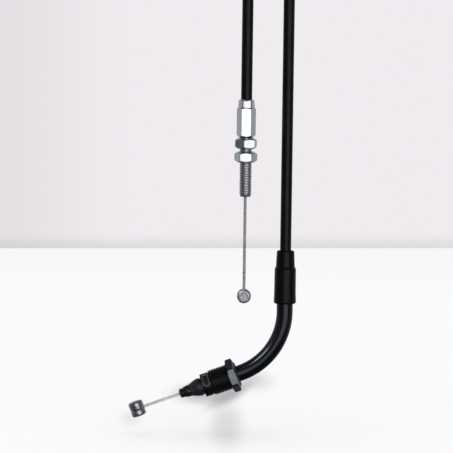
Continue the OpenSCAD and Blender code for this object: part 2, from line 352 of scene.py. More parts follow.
def hex_edge(t, r_flat, slope, across_flats, phase):
    """The edge between a hexagon's sides and its end chamfer. slope is positive at the low end."""

    def edge(angle):
        r = hex_radius(angle, across_flats, phase)
        return t + (r - r_flat) * slope, r

    return edge


def nut_shape(axis, t0, t1, across_flats, phase, thread_r, face_share, slope):
    """A hexagon nut turned down to a share of its width at both faces, with a countersunk bore."""
    face_r = across_flats * face_share
    bore, sink, soft = thread_r + 0.03 * MM, 0.4 * MM, 0.1 * MM
    mouth = min(thread_r + 0.35 * MM, face_r - 0.15 * MM)
    profile = [
        (t0 + sink, bore),
        (t0, mouth),
        (t0, face_r - soft),
        (t0 + soft * 0.3, face_r),
        hex_edge(t0, face_r, slope, across_flats, phase),
        hex_edge(t0 + soft, face_r, slope, across_flats, phase),
        hex_edge(t1 - soft, face_r, -slope, across_flats, phase),
        hex_edge(t1, face_r, -slope, across_flats, phase),
        (t1 - soft * 0.3, face_r),
        (t1, face_r - soft),
        (t1, mouth),
        (t1 - sink, bore),
    ]
    return lathe(axis, profile, hex_angles(phase))


# ---- Stranded wire ----
WIRE_R = (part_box("carb_wire")[1].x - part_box("carb_wire")[0].x) / 2
STRANDS = 12
STRAND_R = WIRE_R * 0.206
LAY = 11 * MM  # the length over which a strand goes once round
STRAND_STEP = 0.6 * MM
CORE_STEPS = 20


def strand(axis, t0, t1, share):
    """One outer strand; share is its place round the wire, from 0 to 1."""
    lay_r = WIRE_R - STRAND_R
    slant = math.atan(TAU * lay_r / LAY)
    count = math.ceil((t1 - t0) / STRAND_STEP)
    rings = []
    for i in range(count + 1):
        t = t0 + (t1 - t0) * i / count
        centre = axis.point(t, lay_r, TAU * (share + t / LAY))
        out = (centre - axis.point(t, 0, 0)).normalized()
        across = axis.along.cross(out) * math.cos(slant) - axis.along * math.sin(slant)
        ways = [out * math.cos(a) + across * math.sin(a) for a in even_angles(8)]
        rings.append([centre + way * STRAND_R for way in ways])
    return skin(rings, False)


def stranded_wire(axis, t0, t1):
    """Outer strands laid round a core."""
    strands = [strand(axis, t0, t1, k / STRANDS) for k in range(STRANDS)]
    core_r = WIRE_R - STRAND_R - 0.02 * MM
    core = [(t0 + (t1 - t0) * i / CORE_STEPS, core_r) for i in range(CORE_STEPS + 1)]
    return joined(*strands, lathe(axis, core, even_angles(16), wrap=False))


# ---- Materials ----
class Nodes:
    """A node tree, with short calls for the nodes that the materials and the world share."""

    def __init__(self, tree):
        self.tree = tree

    def node(self, kind, inputs=(), **settings):
        """A node. inputs maps names, or numbers, to what each input gets."""
        made = self.tree.nodes.new(kind)
        for key, value in settings.items():
            setattr(made, key, value)
        for key, value in dict(inputs).items():
            self.feed(made.inputs[key], value)
        return made

    def feed(self, target, value):
        """Gives an input a number, a vector, a colour or another node's output."""
        if isinstance(value, bpy.types.NodeSocket):
            self.tree.links.new(value, target)
        else:
            target.default_value = (*value, 1) if target.type == "RGBA" else value

    def split(self, vector):
        """The X, Y and Z outputs of a vector."""
        return self.node("ShaderNodeSeparateXYZ", {"Vector": vector}).outputs

    def maths(self, operation, *values):
        made = self.node("ShaderNodeMath", enumerate(values), operation=operation)
        return made.outputs["Value"]

    def spread(self, value, low, high, start=0.3, end=0.7, curve="LINEAR"):
        """value between start and end, as a number from low to high."""
        inputs = {"Value": value, "From Min": start, "From Max": end, "To Min": low, "To Max": high}
        return self.node("ShaderNodeMapRange", inputs, interpolation_type=curve).outputs["Result"]

    def blend(self, share, first, second, mode="MIX"):
        """A colour between two, each a colour or a socket."""
        made = self.node("ShaderNodeMix", {"Factor": share}, data_type="RGBA", blend_type=mode)
        for key, colour in (("A", first), ("B", second)):
            self.feed(next(i for i in made.inputs if i.name == key and i.type == "RGBA"), colour)
        return next(o for o in made.outputs if o.type == "RGBA")


class Paint(Nodes):
    """A procedural material: a Principled shader and what drives it."""

    def __init__(self, name, metallic=0.0, coat=0.0, specular=0.5):
        self.material = bpy.data.materials.new(name)
        self.material.use_nodes = True
        super().__init__(self.material.node_tree)
        self.shader = self.tree.nodes["Principled BSDF"]
        self.set("Metallic", metallic)
        self.set("Coat Weight", coat)
        self.set("Specular IOR Level", specular)
        self.place = self.node("ShaderNodeTexCoord").outputs["Object"]
        self.relief = None

    def set(self, key, value):
        self.feed(self.shader.inputs[key], value)

    def stretched(self, scale):
        """Object coordinates in metres times a scale per axis."""
        inputs = {"Vector": self.place, "Scale": scale}
        return self.node("ShaderNodeMapping", inputs).outputs["Vector"]

    def noise(self, size, detail=3.0, roughness=0.55, stretch=(1, 1, 1)):
        """Noise whose blobs are about size across."""
        place = self.stretched([s / size for s in stretch])
        inputs = {"Vector": place, "Scale": 1.0, "Detail": detail, "Roughness": roughness}
        return self.node("ShaderNodeTexNoise", inputs).outputs["Fac"]

    def mottled(self, noise, first, second):
        """A colour that the noise carries from one colour to another."""
        return self.blend(self.spread(noise, 0, 1), first, second)

    def colour(self, value):
        self.set("Base Color", value)

    def roughness(self, value):
        self.set("Roughness", value)

    def bump(self, value, distance, strength):
        """Adds value as a relief of that depth, on top of any relief there already."""
        inputs = {"Height": value, "Distance": distance, "Strength": strength}
        if self.relief:
            inputs["Normal"] = self.relief
        self.relief = self.node("ShaderNodeBump", inputs).outputs["Normal"]
        self.set("Normal", self.relief)

    def edges(self, low, high):
        """1 on outer edges and crests, 0 elsewhere: wear on the nipples and the lock nut, a painted
        highlight on the union.
        """
        geometry = self.node("ShaderNodeNewGeometry")
        return self.spread(geometry.outputs["Pointiness"], 0.0, 1.0, low, high)


def jacket_material():
    """Black plastic drawn lengthwise, with a faint leathery grain."""
    paint = Paint("jacket_plastic", specular=0.2)
    streaks = paint.noise(0.9 * MM, 4, 0.6, (1, 1, 0.05))
    cloud = paint.noise(9 * MM, 2)
    paint.colour(paint.mottled(cloud, (0.0014, 0.0014, 0.0018), (0.003, 0.003, 0.0036)))
    paint.roughness(paint.spread(streaks, 0.26, 0.42))
    paint.bump(streaks, 0.04 * MM, 0.3)
    paint.bump(paint.noise(0.16 * MM, 2), 0.012 * MM, 0.5)
    return paint.material


def enamel_material():
    """Gloss black enamel with a slight orange peel."""
    paint = Paint("pipe_enamel", coat=0.35, specular=0.2)
    paint.set("Coat Roughness", 0.12)
    cloud = paint.noise(5 * MM, 3)
    paint.colour(paint.mottled(cloud, (0.001, 0.0014, 0.0026), (0.002, 0.0028, 0.005)))
    paint.roughness(paint.spread(paint.noise(4 * MM), 0.22, 0.36))
    paint.bump(paint.noise(2.5 * MM, 2), 0.02 * MM, 0.3)
    return paint.material


def rubber_material(name, shade, specular):
    """Black rubber with a little dust on it."""
    paint = Paint(name, specular=specular)
    dust = paint.noise(3 * MM, 5, 0.65)
    grey = (shade, shade, shade * 1.08)
    pale = (shade * 2.2, shade * 2.2, shade * 2.4)
    paint.colour(paint.blend(paint.spread(dust, 0, 1, 0.35, 0.75), grey, pale))
    paint.roughness(paint.spread(dust, 0.27, 0.4))
    paint.bump(paint.noise(0.12 * MM, 3, 0.7), 0.02 * MM, 0.5)
    paint.bump(paint.noise(1.4 * MM, 2), 0.03 * MM, 0.3)
    return paint.material


def black_steel_material():
    """Black passivated steel of the union: dark, with a painted highlight in paler grey on its crests
    and outer edges.
    """
    paint = Paint("union_black", specular=0.3)
    cloud = paint.noise(2.2 * MM, 4)
    dark = paint.mottled(cloud, (0.0014, 0.0014, 0.002), (0.0035, 0.0035, 0.0045))
    # Painted highlight: the crests and outer edges paler grey.
    paint.colour(paint.blend(paint.edges(0.53, 0.62), dark, (0.05, 0.05, 0.055)))
    paint.roughness(paint.spread(cloud, 0.26, 0.42))
    paint.bump(paint.noise(0.2 * MM, 3), 0.015 * MM, 0.5)
    return paint.material


def rim_highlight_material():
    """Paler grey metal for the beads round the windows: a painted highlight."""
    paint = Paint("rubbed_black", metallic=0.6)
    cloud = paint.noise(1.2 * MM, 4)
    paint.colour(paint.mottled(cloud, (0.09, 0.09, 0.095), (0.24, 0.24, 0.25)))
    paint.roughness(paint.spread(cloud, 0.26, 0.4))
    paint.bump(cloud, 0.02 * MM, 0.4)
    return paint.material


def black_oxide_material():
    """Black oxide on the lock nut: blue-grey metal with rubbed edges."""
    paint = Paint("lock_nut_oxide", metallic=1.0)
    cloud = paint.noise(2.5 * MM, 4, 0.6)
    scratches = paint.noise(0.25 * MM, 3, 0.6, (0.12, 1, 1))
    base = paint.mottled(cloud, (0.11, 0.122, 0.145), (0.17, 0.187, 0.215))
    paint.colour(paint.blend(paint.edges(0.58, 0.7), base, (0.3, 0.31, 0.33)))
    paint.roughness(paint.spread(scratches, 0.24, 0.36))
    paint.bump(scratches, 0.012 * MM, 0.4)
    return paint.material


def guide_material():
    """Hard black plastic with a violet cast."""
    paint = Paint("guide_plastic", specular=1.0)
    cloud = paint.noise(1.8 * MM, 3)
    paint.colour(paint.mottled(cloud, (0.003, 0.0028, 0.006), (0.007, 0.0065, 0.014)))
    paint.roughness(paint.spread(cloud, 0.46, 0.54))
    paint.bump(paint.noise(0.2 * MM, 2), 0.002 * MM, 0.3)
    return paint.material


def zinc_material(name, thread_top=None):
    """Bright zinc plate with a faint blue and yellow cast and a fine grain, dull below thread_top."""
    paint = Paint(name, metallic=1.0)
    cast = paint.noise(4 * MM, 3)
    grain = paint.noise(0.3 * MM, 4, 0.7)
    plate = paint.mottled(cast, (0.68, 0.73, 0.77), (0.78, 0.79, 0.77))
    spots = paint.spread(paint.noise(0.5 * MM, 4, 0.6), 0, 0.2, 0.58, 0.75)
    plate = paint.blend(spots, plate, (0.5, 0.52, 0.54))
    polish = paint.spread(grain, 0.2, 0.32)
    if thread_top is not None:
        height = paint.split(paint.place)["Z"]
        dull = paint.spread(height, 1.0, 0.0, thread_top - 0.2 * MM, thread_top)
        plate = paint.blend(dull, plate, (0.58, 0.6, 0.63))
        polish = paint.maths("MULTIPLY_ADD", dull, 0.18, polish)
    paint.colour(plate)
    paint.roughness(polish)
    paint.bump(grain, 0.006 * MM, 0.4)
    return paint.material


def cast_material(name, smooth, rough):
    """Die-cast zinc of the nipples: mottled grey with small pits."""
    paint = Paint(name, metallic=0.95)
    mottle = paint.noise(0.9 * MM, 5, 0.65)
    base = paint.mottled(mottle, (0.26, 0.265, 0.28), (0.5, 0.51, 0.54))
    paint.colour(paint.blend(paint.edges(0.52, 0.62), base, (0.6, 0.61, 0.63)))
    paint.roughness(paint.spread(mottle, rough, smooth))
    paint.bump(mottle, 0.05 * MM, 0.45)
    return paint.material


def strand_material(name, low, high, metallic):
    """Stranded steel with a little oil; low and high are its darkest and palest grey, set per copy to
    paint how brightly each wire is lit.
    """
    paint = Paint(name, metallic=metallic)
    oil = paint.noise(2 * MM, 3)
    paint.colour(paint.mottled(oil, (low, low, low * 1.02), (high, high, high * 1.02)))
    paint.roughness(paint.spread(oil, 0.24, 0.38))
    paint.bump(paint.noise(0.1 * MM, 2), 0.006 * MM, 0.4)
    return paint.material


def liner_material():
    """Milky nylon."""
    paint = Paint("liner_nylon")
    cloud = paint.noise(3 * MM, 3)
    paint.set("Subsurface Weight", 0.15)
    paint.set("Subsurface Radius", (1.0 * MM, 1.0 * MM, 0.8 * MM))
    paint.colour(paint.mottled(cloud, (0.66, 0.63, 0.55), (0.76, 0.73, 0.66)))
    paint.roughness(paint.spread(cloud, 0.35, 0.5))
    paint.bump(paint.noise(0.4 * MM, 2), 0.01 * MM, 0.4)
    return paint.material


def wrap_material():
    """Steel with the narrow coils of a flat wire wound round and round."""
    paint = Paint("wrap_steel", metallic=1.0)
    place = paint.stretched((0, 0, 0.35 / (1.5 * MM)))
    inputs = {"Vector": place, "Scale": 1.0, "Distortion": 0.4}
    coils = paint.node("ShaderNodeTexWave", inputs, bands_direction="Z").outputs["Fac"]
    paint.colour(paint.blend(coils, (0.3, 0.3, 0.31), (0.5, 0.5, 0.52)))
    paint.roughness(paint.spread(paint.noise(2 * MM), 0.3, 0.45))
    paint.bump(coils, 0.1 * MM, 0.7)
    return paint.material


def cup_material():
    """Drawn steel with fine lines round the cup."""
    paint = Paint("cup_steel", metallic=1.0)
    lines = paint.noise(0.2 * MM, 3, 0.6, (0.1, 0.1, 1))
    paint.colour(paint.mottled(lines, (0.42, 0.43, 0.44), (0.58, 0.59, 0.6)))
    paint.roughness(paint.spread(lines, 0.28, 0.42))
    paint.bump(lines, 0.01 * MM, 0.4)
    return paint.material


jacket_plastic = jacket_material()
pipe_enamel = enamel_material()
sleeve_rubber = rubber_material("sleeve_rubber", 0.0016, 0.16)
seal_rubber = rubber_material("seal_rubber", 0.003, 0.7)
union_black = black_steel_material()
rubbed_black = rim_highlight_material()
lock_nut_oxide = black_oxide_material()
guide_plastic = guide_material()
zinc_plate = zinc_material("zinc_plate")
adjuster_zinc = zinc_material("adjuster_zinc", adjuster_low + 29.0 * MM)
cast_zinc = cast_material("cast_zinc", 0.22, 0.34)
dull_cast_zinc = cast_material("dull_cast_zinc", 0.4, 0.56)
# The same steel twice: a paler copy with painted light for the throttle wire and the cores, a darker
# copy with painted shade for the carburettor wire.
strand_steel = strand_material("strand_steel", 0.56, 0.84, 0.5)
carb_strand_steel = strand_material("carb_strand_steel", 0.3, 0.48, 0.6)
liner_nylon = liner_material()
wrap_steel = wrap_material()
cup_steel = cup_material()


# ---- Conduit ----
CONDUIT_R = 2.75 * MM
JACKET_BORE_R = 2.0 * MM
LEG_BEND = 20 * MM  # half the length over which the carburettor leg bends
CUP_DEPTH = 1.2 * MM  # how far the jacket reaches into its cup
GAP = 0.02 * MM  # between a part and what it slips over


def jacket_stretch(name, s0, s1):
    shape = sweep(cable, s0, s1, CONDUIT_R, JACKET_BORE_R)
    obj = piece(name, shape, jacket_plastic)
    return obj


def build_conduit():
    """Stiff stretches ride on one body; over each flexing joint lies a stretch of its own that rides on
    none.
    """
    first = marks["loop"] + marks["quarter"] / 2
    for i in range(3):
        s0 = first + i * marks["quarter"]
        s1 = s0 + marks["quarter"]
        obj = jacket_stretch(f"conduit_bend_{i + 1}", s0, s1)
        cable.at(s0)[0]
        cable.at(s1)[0]
        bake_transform(obj)
        if i:
            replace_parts(obj, f"jacket_{i + 1}")
    last = first + 3 * marks["quarter"]
    leg_s0, leg_s1 = left_leg_s(leg_flex_z + LEG_BEND), left_leg_s(leg_flex_z - LEG_BEND)
    bend = jacket_stretch("conduit_bend_4", leg_s0, leg_s1)
    cable.at(leg_s0)[0]
    cable.at(leg_s1)[0]
    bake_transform(bend)

    throttle_leg = jacket_stretch("conduit_throttle_leg", right_leg_s(cup_low + CUP_DEPTH), first)
    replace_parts(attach(throttle_leg, "throttle_end"), "jacket_1")
    loop_end = jacket_stretch("conduit_loop_end", last, leg_s0)
    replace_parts(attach(loop_end, "bend_3"), "jacket_4")
    socket_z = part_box("jacket_5")[0].z
    carb_leg = jacket_stretch("conduit_carb_leg", leg_s1, left_leg_s(socket_z))
    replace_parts(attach(carb_leg, "carb_end"), "jacket_5")


# ---- Throttle end ----
PIPE_R = 4.0 * MM
PIPE_BORE_R = 2.8 * MM


def build_pipe():
    """Bent tube with a rounded flare at its front end."""
    top = right_leg_s(cup_low - 0.05 * MM)
    tube = sweep(cable, 0.0, top, PIPE_R, PIPE_BORE_R, around=48, step=0.8 * MM)
    flare_r, flare_h, soft = 4.7 * MM, 1.4 * MM, 0.3 * MM
    flare = rounded(
        [
            (PIPE_FRONT - flare_h, PIPE_BORE_R),
            (PIPE_FRONT - flare_h, flare_r, soft),
            (PIPE_FRONT, flare_r, soft),
            (PIPE_FRONT, PIPE_BORE_R),
        ]
    )
    obj = piece("bent_pipe", joined(tube, lathe(throttle_axis, flare, even_angles(48))), pipe_enamel)
    stand_in(obj, "throttle_end", "elbow_pipe")


PARTING_LINE = 0.07 * MM
PARTING_SPREAD = math.radians(1.6)
PARTING_SIDES = (0, math.pi)


def parted(t, r):
    """A profile entry with the mould's parting line on both sides."""

    def entry(angle):
        from_line = abs((angle + math.pi / 2) % math.pi - math.pi / 2)
        return t, r + PARTING_LINE * math.exp(-((from_line / PARTING_SPREAD) ** 2))

    return entry


def build_joint_sleeve():
    """Moulded rubber sleeve with soft edges, a parting line on both sides and a bottom bead."""
    low, high = sleeve_low, sleeve_high
    body_r, waist_r, neck_r, lip_r = 5.42 * MM, 5.2 * MM, 4.6 * MM, 4.22 * MM
    body_top, step = low + 17.3 * MM, low + 12 * MM
    over_pipe, over_conduit = PIPE_R + 0.03 * MM, CONDUIT_R + GAP
    profile = rounded(
        [
            (low, over_pipe),
            (low, body_r, 0.9 * MM),
            (low + 2.6 * MM, body_r, 1.5 * MM),
            (low + 4.2 * MM, body_r - 0.1 * MM, 1.5 * MM),
            (body_top, waist_r, 0.7 * MM),
            (body_top + 1.3 * MM, neck_r, 0.5 * MM),
            (high, lip_r, 0.8 * MM),
            (high, over_conduit),
            (step, over_conduit),
            (step - 0.2 * MM, over_pipe),
        ],
        steps=6,
    )
    seams = [parted(t, r) if r > over_pipe + 0.07 * MM else (t, r) for t, r in profile]
    beside = [side + math.radians(d) for side in PARTING_SIDES for d in (-3, -1.2, 1.2, 3)]
    angles = sorted(even_angles(72) + beside)
    obj = piece("joint_rubber_sleeve", lathe(right_leg, seams, angles), sleeve_rubber, sharp=50)
    stand_in(obj, "throttle_end", "joint_sleeve")


WINDOW_TURNS = [CAMERA_SIDE + math.radians(32) + side for side in (0, math.pi)]
WINDOW_LENGTH = 6.0 * MM
WINDOW_WIDTH = 2.5 * MM
WINDOW_MIDDLE = 10.8 * MM
COLLAR_R = 5.8 * MM
COLLAR_END = 13.1 * MM
UNION_THREAD_R = 6.4 * MM


def stadium(length, width, steps=8):
    """Outline of a slot: (across, along) pairs, anticlockwise."""
    half, r = (length - width) / 2, width / 2
    points = []
    for side in (1, -1):
        for k in range(steps + 1):
            angle = -math.pi / 2 + math.pi * k / steps
            points.append((side * (half + r * math.cos(angle)), side * r * math.sin(angle)))
    return points


def on_collar(turn, across, along, r=COLLAR_R):
    """A point on the collar, from the middle of the window at that turn."""
    return throttle_axis.point(WINDOW_MIDDLE + along, r, turn + across / COLLAR_R)


def window_prism(turn, length, width, r0, r1):
    """A slot-shaped block between two radii, its length round the collar."""
    outline = stadium(length, width)
    rings = [[on_collar(turn, across, along, r) for across, along in outline] for r in (r0, r1)]
    return skin(rings, False)


def window_rim(turn):
    """A thin raised bead round a window."""
    bead, room = 0.3 * MM, 0.5 * MM
    straight = (WINDOW_LENGTH - WINDOW_WIDTH) / 2
    rings = []
    for across, along in stadium(WINDOW_LENGTH + room, WINDOW_WIDTH + room):
        centre = on_collar(turn, across, along)
        out = (centre - throttle_axis.point(WINDOW_MIDDLE + along, 0, 0)).normalized()
        angle = math.atan2(along, across - math.copysign(straight, across))
        side = throttle_axis.along * math.sin(angle) - out.cross(throttle_axis.along) * math.cos(angle)
        ways = [out * math.cos(a) + side * math.sin(a) for a in even_angles(8)]
        rings.append([centre + way * bead for way in ways])
    return skin(rings, True)


def cut_window(obj, turn):
    """Cuts one window through a mesh for good."""
    block = window_prism(turn, WINDOW_LENGTH, WINDOW_WIDTH, 4 * MM, 7 * MM)
    cutter = piece("window_cutter", block, union_black)
    modifier = obj.modifiers.new("window", "BOOLEAN")
    modifier.object = cutter
    modifier.operation = "DIFFERENCE"
    modifier.solver = "EXACT"
    bpy.context.view_layer.update()
    evaluated = obj.evaluated_get(bpy.context.evaluated_depsgraph_get())
    mesh = bpy.data.meshes.new_from_object(evaluated)
    obj.modifiers.clear()
    obj.data = mesh
    mesh.set_sharp_from_angle(angle=math.radians(SHARP))
    bpy.data.objects.remove(cutter)


def build_union():
    """Threaded sleeve, the collar with its two windows and the beads round them, painted paler as a
    highlight.
    """
    rear, thread_end, collar_start = -5.3 * MM, 8.8 * MM, 9.2 * MM
    bore_r, socket_r, neck_r, step = 4.08 * MM, 4.8 * MM, 5.4 * MM, 5.0 * MM
    root = UNION_THREAD_R - UNION_THREAD_DEPTH
    neck_end = collar_start + 0.1 * MM
    thread_start = rear + 0.45 * MM
    profile = [(rear, bore_r), (rear, root - 0.3 * MM), (rear + 0.4 * MM, root)]
    profile += thread_rows(
        thread_start, thread_end, UNION_THREAD_R, UNION_THREAD_DEPTH, 0.6 * MM, 0.7 * MM
    )
    profile += [(thread_end, neck_r), (neck_end, neck_r)]
    profile += [(neck_end, socket_r), (step, socket_r), (step, bore_r)]
    collar_profile = rounded(
        [
            (collar_start, socket_r),
            (collar_start, COLLAR_R, 0.25 * MM),
            (COLLAR_END, COLLAR_R, 0.3 * MM),
            (COLLAR_END, socket_r),
        ]
    )
    collar = piece("union_collar", lathe(throttle_axis, collar_profile, even_angles(96)), union_black)
    for turn in WINDOW_TURNS:
        cut_window(collar, turn)
    rims = [window_rim(turn) for turn in WINDOW_TURNS]
    body = piece("threaded_union", lathe(throttle_axis, profile, even_angles(96)), union_black)
    stand_in(body, "union", "threaded_sleeve")
    # The beads carry a painted highlight round the windows.
    beads = piece("window_rims", joined(*rims), rubbed_black)
    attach(beads, "union")
    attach(collar, "union")


def build_guide():
    """Stepped nose with two latch pads that show in the union's windows."""
    bore_r, plug_r, ring_r, spigot_r = 0.95 * MM, 4.75 * MM, 4.45 * MM, 1.7 * MM
    plug_start, ring_start, ring_end = 6.8 * MM, 14.1 * MM, 15.3 * MM
    shoulder, taper_end, spigot_end = 18.2 * MM, 19.6 * MM, 23.5 * MM
    neck_r = ring_r - 0.3 * MM
    profile = rounded(
        [
            (plug_start, bore_r),
            (plug_start, plug_r, 0.3 * MM),
            (COLLAR_END, plug_r, 0.2 * MM),
            (COLLAR_END + 0.05 * MM, neck_r),
            (ring_start, neck_r, 0.15 * MM),
            (ring_start + 0.1 * MM, ring_r, 0.35 * MM),
            (ring_end, ring_r, 0.8 * MM),
            (shoulder, 3.65 * MM, 0.2 * MM),
            (shoulder + 0.2 * MM, 3.35 * MM, 0.1 * MM),
            (taper_end, 3.25 * MM, 0.3 * MM),
            (taper_end + 0.05 * MM, spigot_r),
            (spigot_end, spigot_r),
            (spigot_end, bore_r),
        ],
        steps=5,
    )
    nose = lathe(throttle_axis, profile, even_angles(72))
    pads = [window_prism(turn, 5.7 * MM, 2.2 * MM, 4.6 * MM, 5.35 * MM) for turn in WINDOW_TURNS]
    obj = piece("wire_guide_nose", joined(nose, *pads), guide_plastic)
    stand_in(obj, "union", "wire_guide")


def lug(turn, width, t0, t1, foot_r, start_r, end_r):
    """A small lug along the axis, its top sloping from one radius to another."""
    reach = width / 2 / foot_r
    rings = []
    for t, top_r in ((t0, start_r), (t1, end_r)):
        section = ((foot_r, -reach), (top_r, -reach * 0.7), (top_r, reach * 0.7), (foot_r, reach))
        rings.append([throttle_axis.point(t, r, turn + aside) for r, aside in section])
    return skin(rings, False)


def build_seal():
    """Stepped rubber tip with two rows of small lugs."""
    start, tip = 19.8 * MM, 25.3 * MM
    lip_r, spigot_r, wiper_r = 2.95 * MM, 1.73 * MM, 0.8 * MM
    wiper = 1.6 * MM  # length of the narrow bore at the tip
    profile = rounded(
        [
            (start, spigot_r),
            (start, lip_r, 0.25 * MM),
            (start + 1.5 * MM, lip_r, 0.3 * MM),
            (start + 1.7 * MM, 2.55 * MM, 0.12 * MM),
            (start + 3.0 * MM, 2.4 * MM, 0.2 * MM),
            (start + 3.2 * MM, 2.0 * MM, 0.1 * MM),
            (tip, 1.95 * MM, 0.3 * MM),
            (tip, wiper_r),
            (tip - wiper, wiper_r),
            (tip - wiper - 0.05 * MM, spigot_r),
        ]
    )
    lugs, count, width = [], 6, 1.0 * MM
    for k in range(count):
        for share, t0, t1, foot_r, start_r, end_r in (
            (0.2, 1.5 * MM, 2.9 * MM, 2.3 * MM, 2.9 * MM, 2.75 * MM),
            (0.55, 3.1 * MM, 5.2 * MM, 1.8 * MM, 2.4 * MM, 2.25 * MM),
        ):
            turn = CAMERA_SIDE + TAU * (k + share) / count
            lugs.append(lug(turn, width, start + t0, start + t1, foot_r, start_r, end_r))
    tip_shape = lathe(throttle_axis, profile, even_angles(48))
    obj = piece("wire_dust_seal", joined(tip_shape, *lugs), seal_rubber)
    stand_in(obj, "union", "dust_seal")


def build_lock_nut():
    back, thickness, across = -4.8 * MM, 4.3 * MM, 15 * MM
    shape = nut_shape(throttle_axis, back, back + thickness, across, 0.0, UNION_THREAD_R, 0.44, 0.38)
    obj = piece("union_lock_nut", shape, lock_nut_oxide)
    stand_in(obj, "lock_nut", "throttle_lock_nut")


def uneven(t, r, spread):
    """A profile entry that is slightly out of round, as a casting is."""

    def entry(angle):
        wobble = math.sin(3 * angle + spread) + 0.6 * math.sin(5 * angle + 2 * spread + t / MM)
        return t, r + 0.03 * MM * wobble

    return entry


def barrel_shape(axis, r, half, spread, shift=0.0, dish=0.62, edge=0.9 * MM, hollow=0.3 * MM):
    """Die-cast barrel: two crowned lands, a groove between them and a dished end with a rim."""
    groove, deep, land_r, soft = 0.5 * MM, 0.42 * MM, r - 0.14 * MM, 0.25 * MM
    dish_r, floor_r, floor, rim, crown = r * dish, r * 0.32, half - hollow, 0.3 * MM, 2.0 * MM
    profile = rounded(
        [
            (-floor + 0.05 * MM, 0.0),
            (-floor, floor_r),
            (-half, dish_r, rim),
            (-half, land_r, edge),
            ((shift - groove - half) / 2, r, crown),
            (shift - groove, land_r, soft),
            (shift, r - deep, 0.2 * MM),
            (shift + groove, land_r, soft),
            ((shift + groove + half) / 2, r, crown),
            (half, land_r, edge),
            (half, dish_r, rim),
            (floor, floor_r),
            (floor - 0.05 * MM, 0.0),
        ],
        steps=5,
    )
    cast = [uneven(t, out, spread) if out > r / 2 else (t, out) for t, out in profile]
    return lathe(axis, cast, even_angles(64), wrap=False)


def end_bar(centre, end_y, r):
    """The bar across a dished end, in line with the wire, with a pocket left on each side."""
    outwards = math.copysign(MM, end_y)
    foot = end_y - 0.9 * outwards
    rings = []
    for z, half, sunk in ((-0.62, 0.3, 0.12), (-0.4, 0.62, 0.04), (0.35, 0.7, 0.06), (0.7, 0.5, 0.12)):
        top = end_y - sunk * outwards
        section = [(-1, foot), (-1, top * 0.98), (-0.4, top)]
        section += [(-x, y) for x, y in reversed(section)]
        rings.append([centre + Vector((x * half * MM, y, z * r)) for x, y in section])
    return skin(rings, False)


def entry_cone(axis, t0, t1, r0, r1):
    """The zinc that runs up the wire where it enters the barrel."""
    inside, waist = WIRE_R * 0.8, (r0 + r1) / 2 - 0.12 * MM
    profile = [(t0, inside), (t0, r0), ((t0 + t1) / 2, waist), (t1, r1), (t1, inside)]
    return lathe(axis, profile, even_angles(24))


CONE_START, CONE_END = 1.2 * MM, -0.1 * MM  # inwards from the barrel's side
CONE_WIDE, CONE_NARROW = 1.3 * MM, 0.8 * MM


def build_throttle_wire():
    low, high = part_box("throttle_wire")
    ends = [Vector((x, 0, z)) for x in (low.x, high.x) for z in (low.z, high.z)]
    rear = min((end - origin).dot(throttle_dir) for end in ends) + 0.3 * MM
    wire = piece("throttle_inner_wire", stranded_wire(throttle_axis, rear, nipple_reach), strand_steel)
    stand_in(wire, "throttle_pull_wire", "throttle_wire")
    r = half = 3.65 * MM
    side = nipple_reach - r
    cone = entry_cone(throttle_axis, side + CONE_END, side + CONE_START, CONE_NARROW, CONE_WIDE)
    across = Axis(origin + throttle_dir * nipple_reach, throttle_up, -throttle_dir)
    barrel = joined(barrel_shape(across, r, half, spread=0.4, shift=-0.45 * MM), cone)
    obj = piece("throttle_barrel_nipple", barrel, cast_zinc, sharp=45)
    stand_in(obj, "throttle_pull_wire", "throttle_nipple")


# ---- Carburettor end ----
M6_R = 3.0 * MM
NUT_AF = 10 * MM
HEX_SHARP = 25  # below the 30 degrees between a flat and its blunted corner


def crimp_row(t, across_flats, phase):
    """A profile entry of the crimped collar: a hexagon pressed into a round tube."""

    def row(angle):
        hexagon = hex_radius(angle, across_flats, phase)
        return t, 0.7 * hexagon + 0.3 * across_flats / 2 * 1.07

    return row


def build_adjuster():
    """Threaded tube, hexagon and crimped collar in one piece, with a socket for the conduit."""
    low, high = adjuster_low, adjuster_high
    hex_low, hex_high = low + 29.2 * MM, low + 44.0 * MM
    across, phase = 8.2 * MM, 0.0
    top_r, top_slope = across / 2 * 0.93, -math.tan(math.radians(35))
    foot_r, foot_slope = across / 2 * 0.8, 0.9
    bore_r, socket_r, socket_z = 1.25 * MM, CONDUIT_R + GAP, hex_low + 2.6 * MM
    root = M6_R - M6_THREAD_DEPTH
    thread_start, thread_end = low + 0.4 * MM, hex_low - 0.9 * MM
    soft = 0.1 * MM
    profile = [(low, bore_r), (low, root - 0.15 * MM), (low + 0.35 * MM, root + 0.1 * MM)]
    profile += thread_rows(thread_start, thread_end, M6_R, M6_THREAD_DEPTH, 0.7 * MM, 0.8 * MM)
    profile += [
        (thread_end + 0.05 * MM, root),
        (hex_low, root + 0.05 * MM),
        (hex_low, foot_r - soft),
        (hex_low + 0.03 * MM, foot_r),
        hex_edge(hex_low, foot_r, foot_slope, across, phase),
        hex_edge(hex_low + soft, foot_r, foot_slope, across, phase),
        hex_edge(hex_high - soft, top_r, top_slope, across, phase),
        hex_edge(hex_high - 0.03 * MM, top_r, top_slope, across, phase),
        crimp_row(hex_high + 0.03 * MM, 7.35 * MM, phase),
        crimp_row(hex_high + 0.15 * MM, 7.2 * MM, phase),
        crimp_row(hex_high + 1.2 * MM, 7.15 * MM, phase),
        crimp_row(high - 1.4 * MM, 6.95 * MM, phase),
        crimp_row(high - 0.7 * MM, 6.8 * MM, phase),
        (high - 0.3 * MM, 3.28 * MM),
        (high - 0.08 * MM, 3.1 * MM),
        (high, 2.9 * MM),
        (high - soft, socket_r),
        (socket_z, socket_r),
        (socket_z, bore_r),
    ]
    shape = lathe(left_leg, profile, hex_angles(phase, blunt=math.radians(0.8)))
    obj = piece("adjuster_body", shape, adjuster_zinc, sharp=HEX_SHARP)
    stand_in(obj, "carb_end", "adjuster")


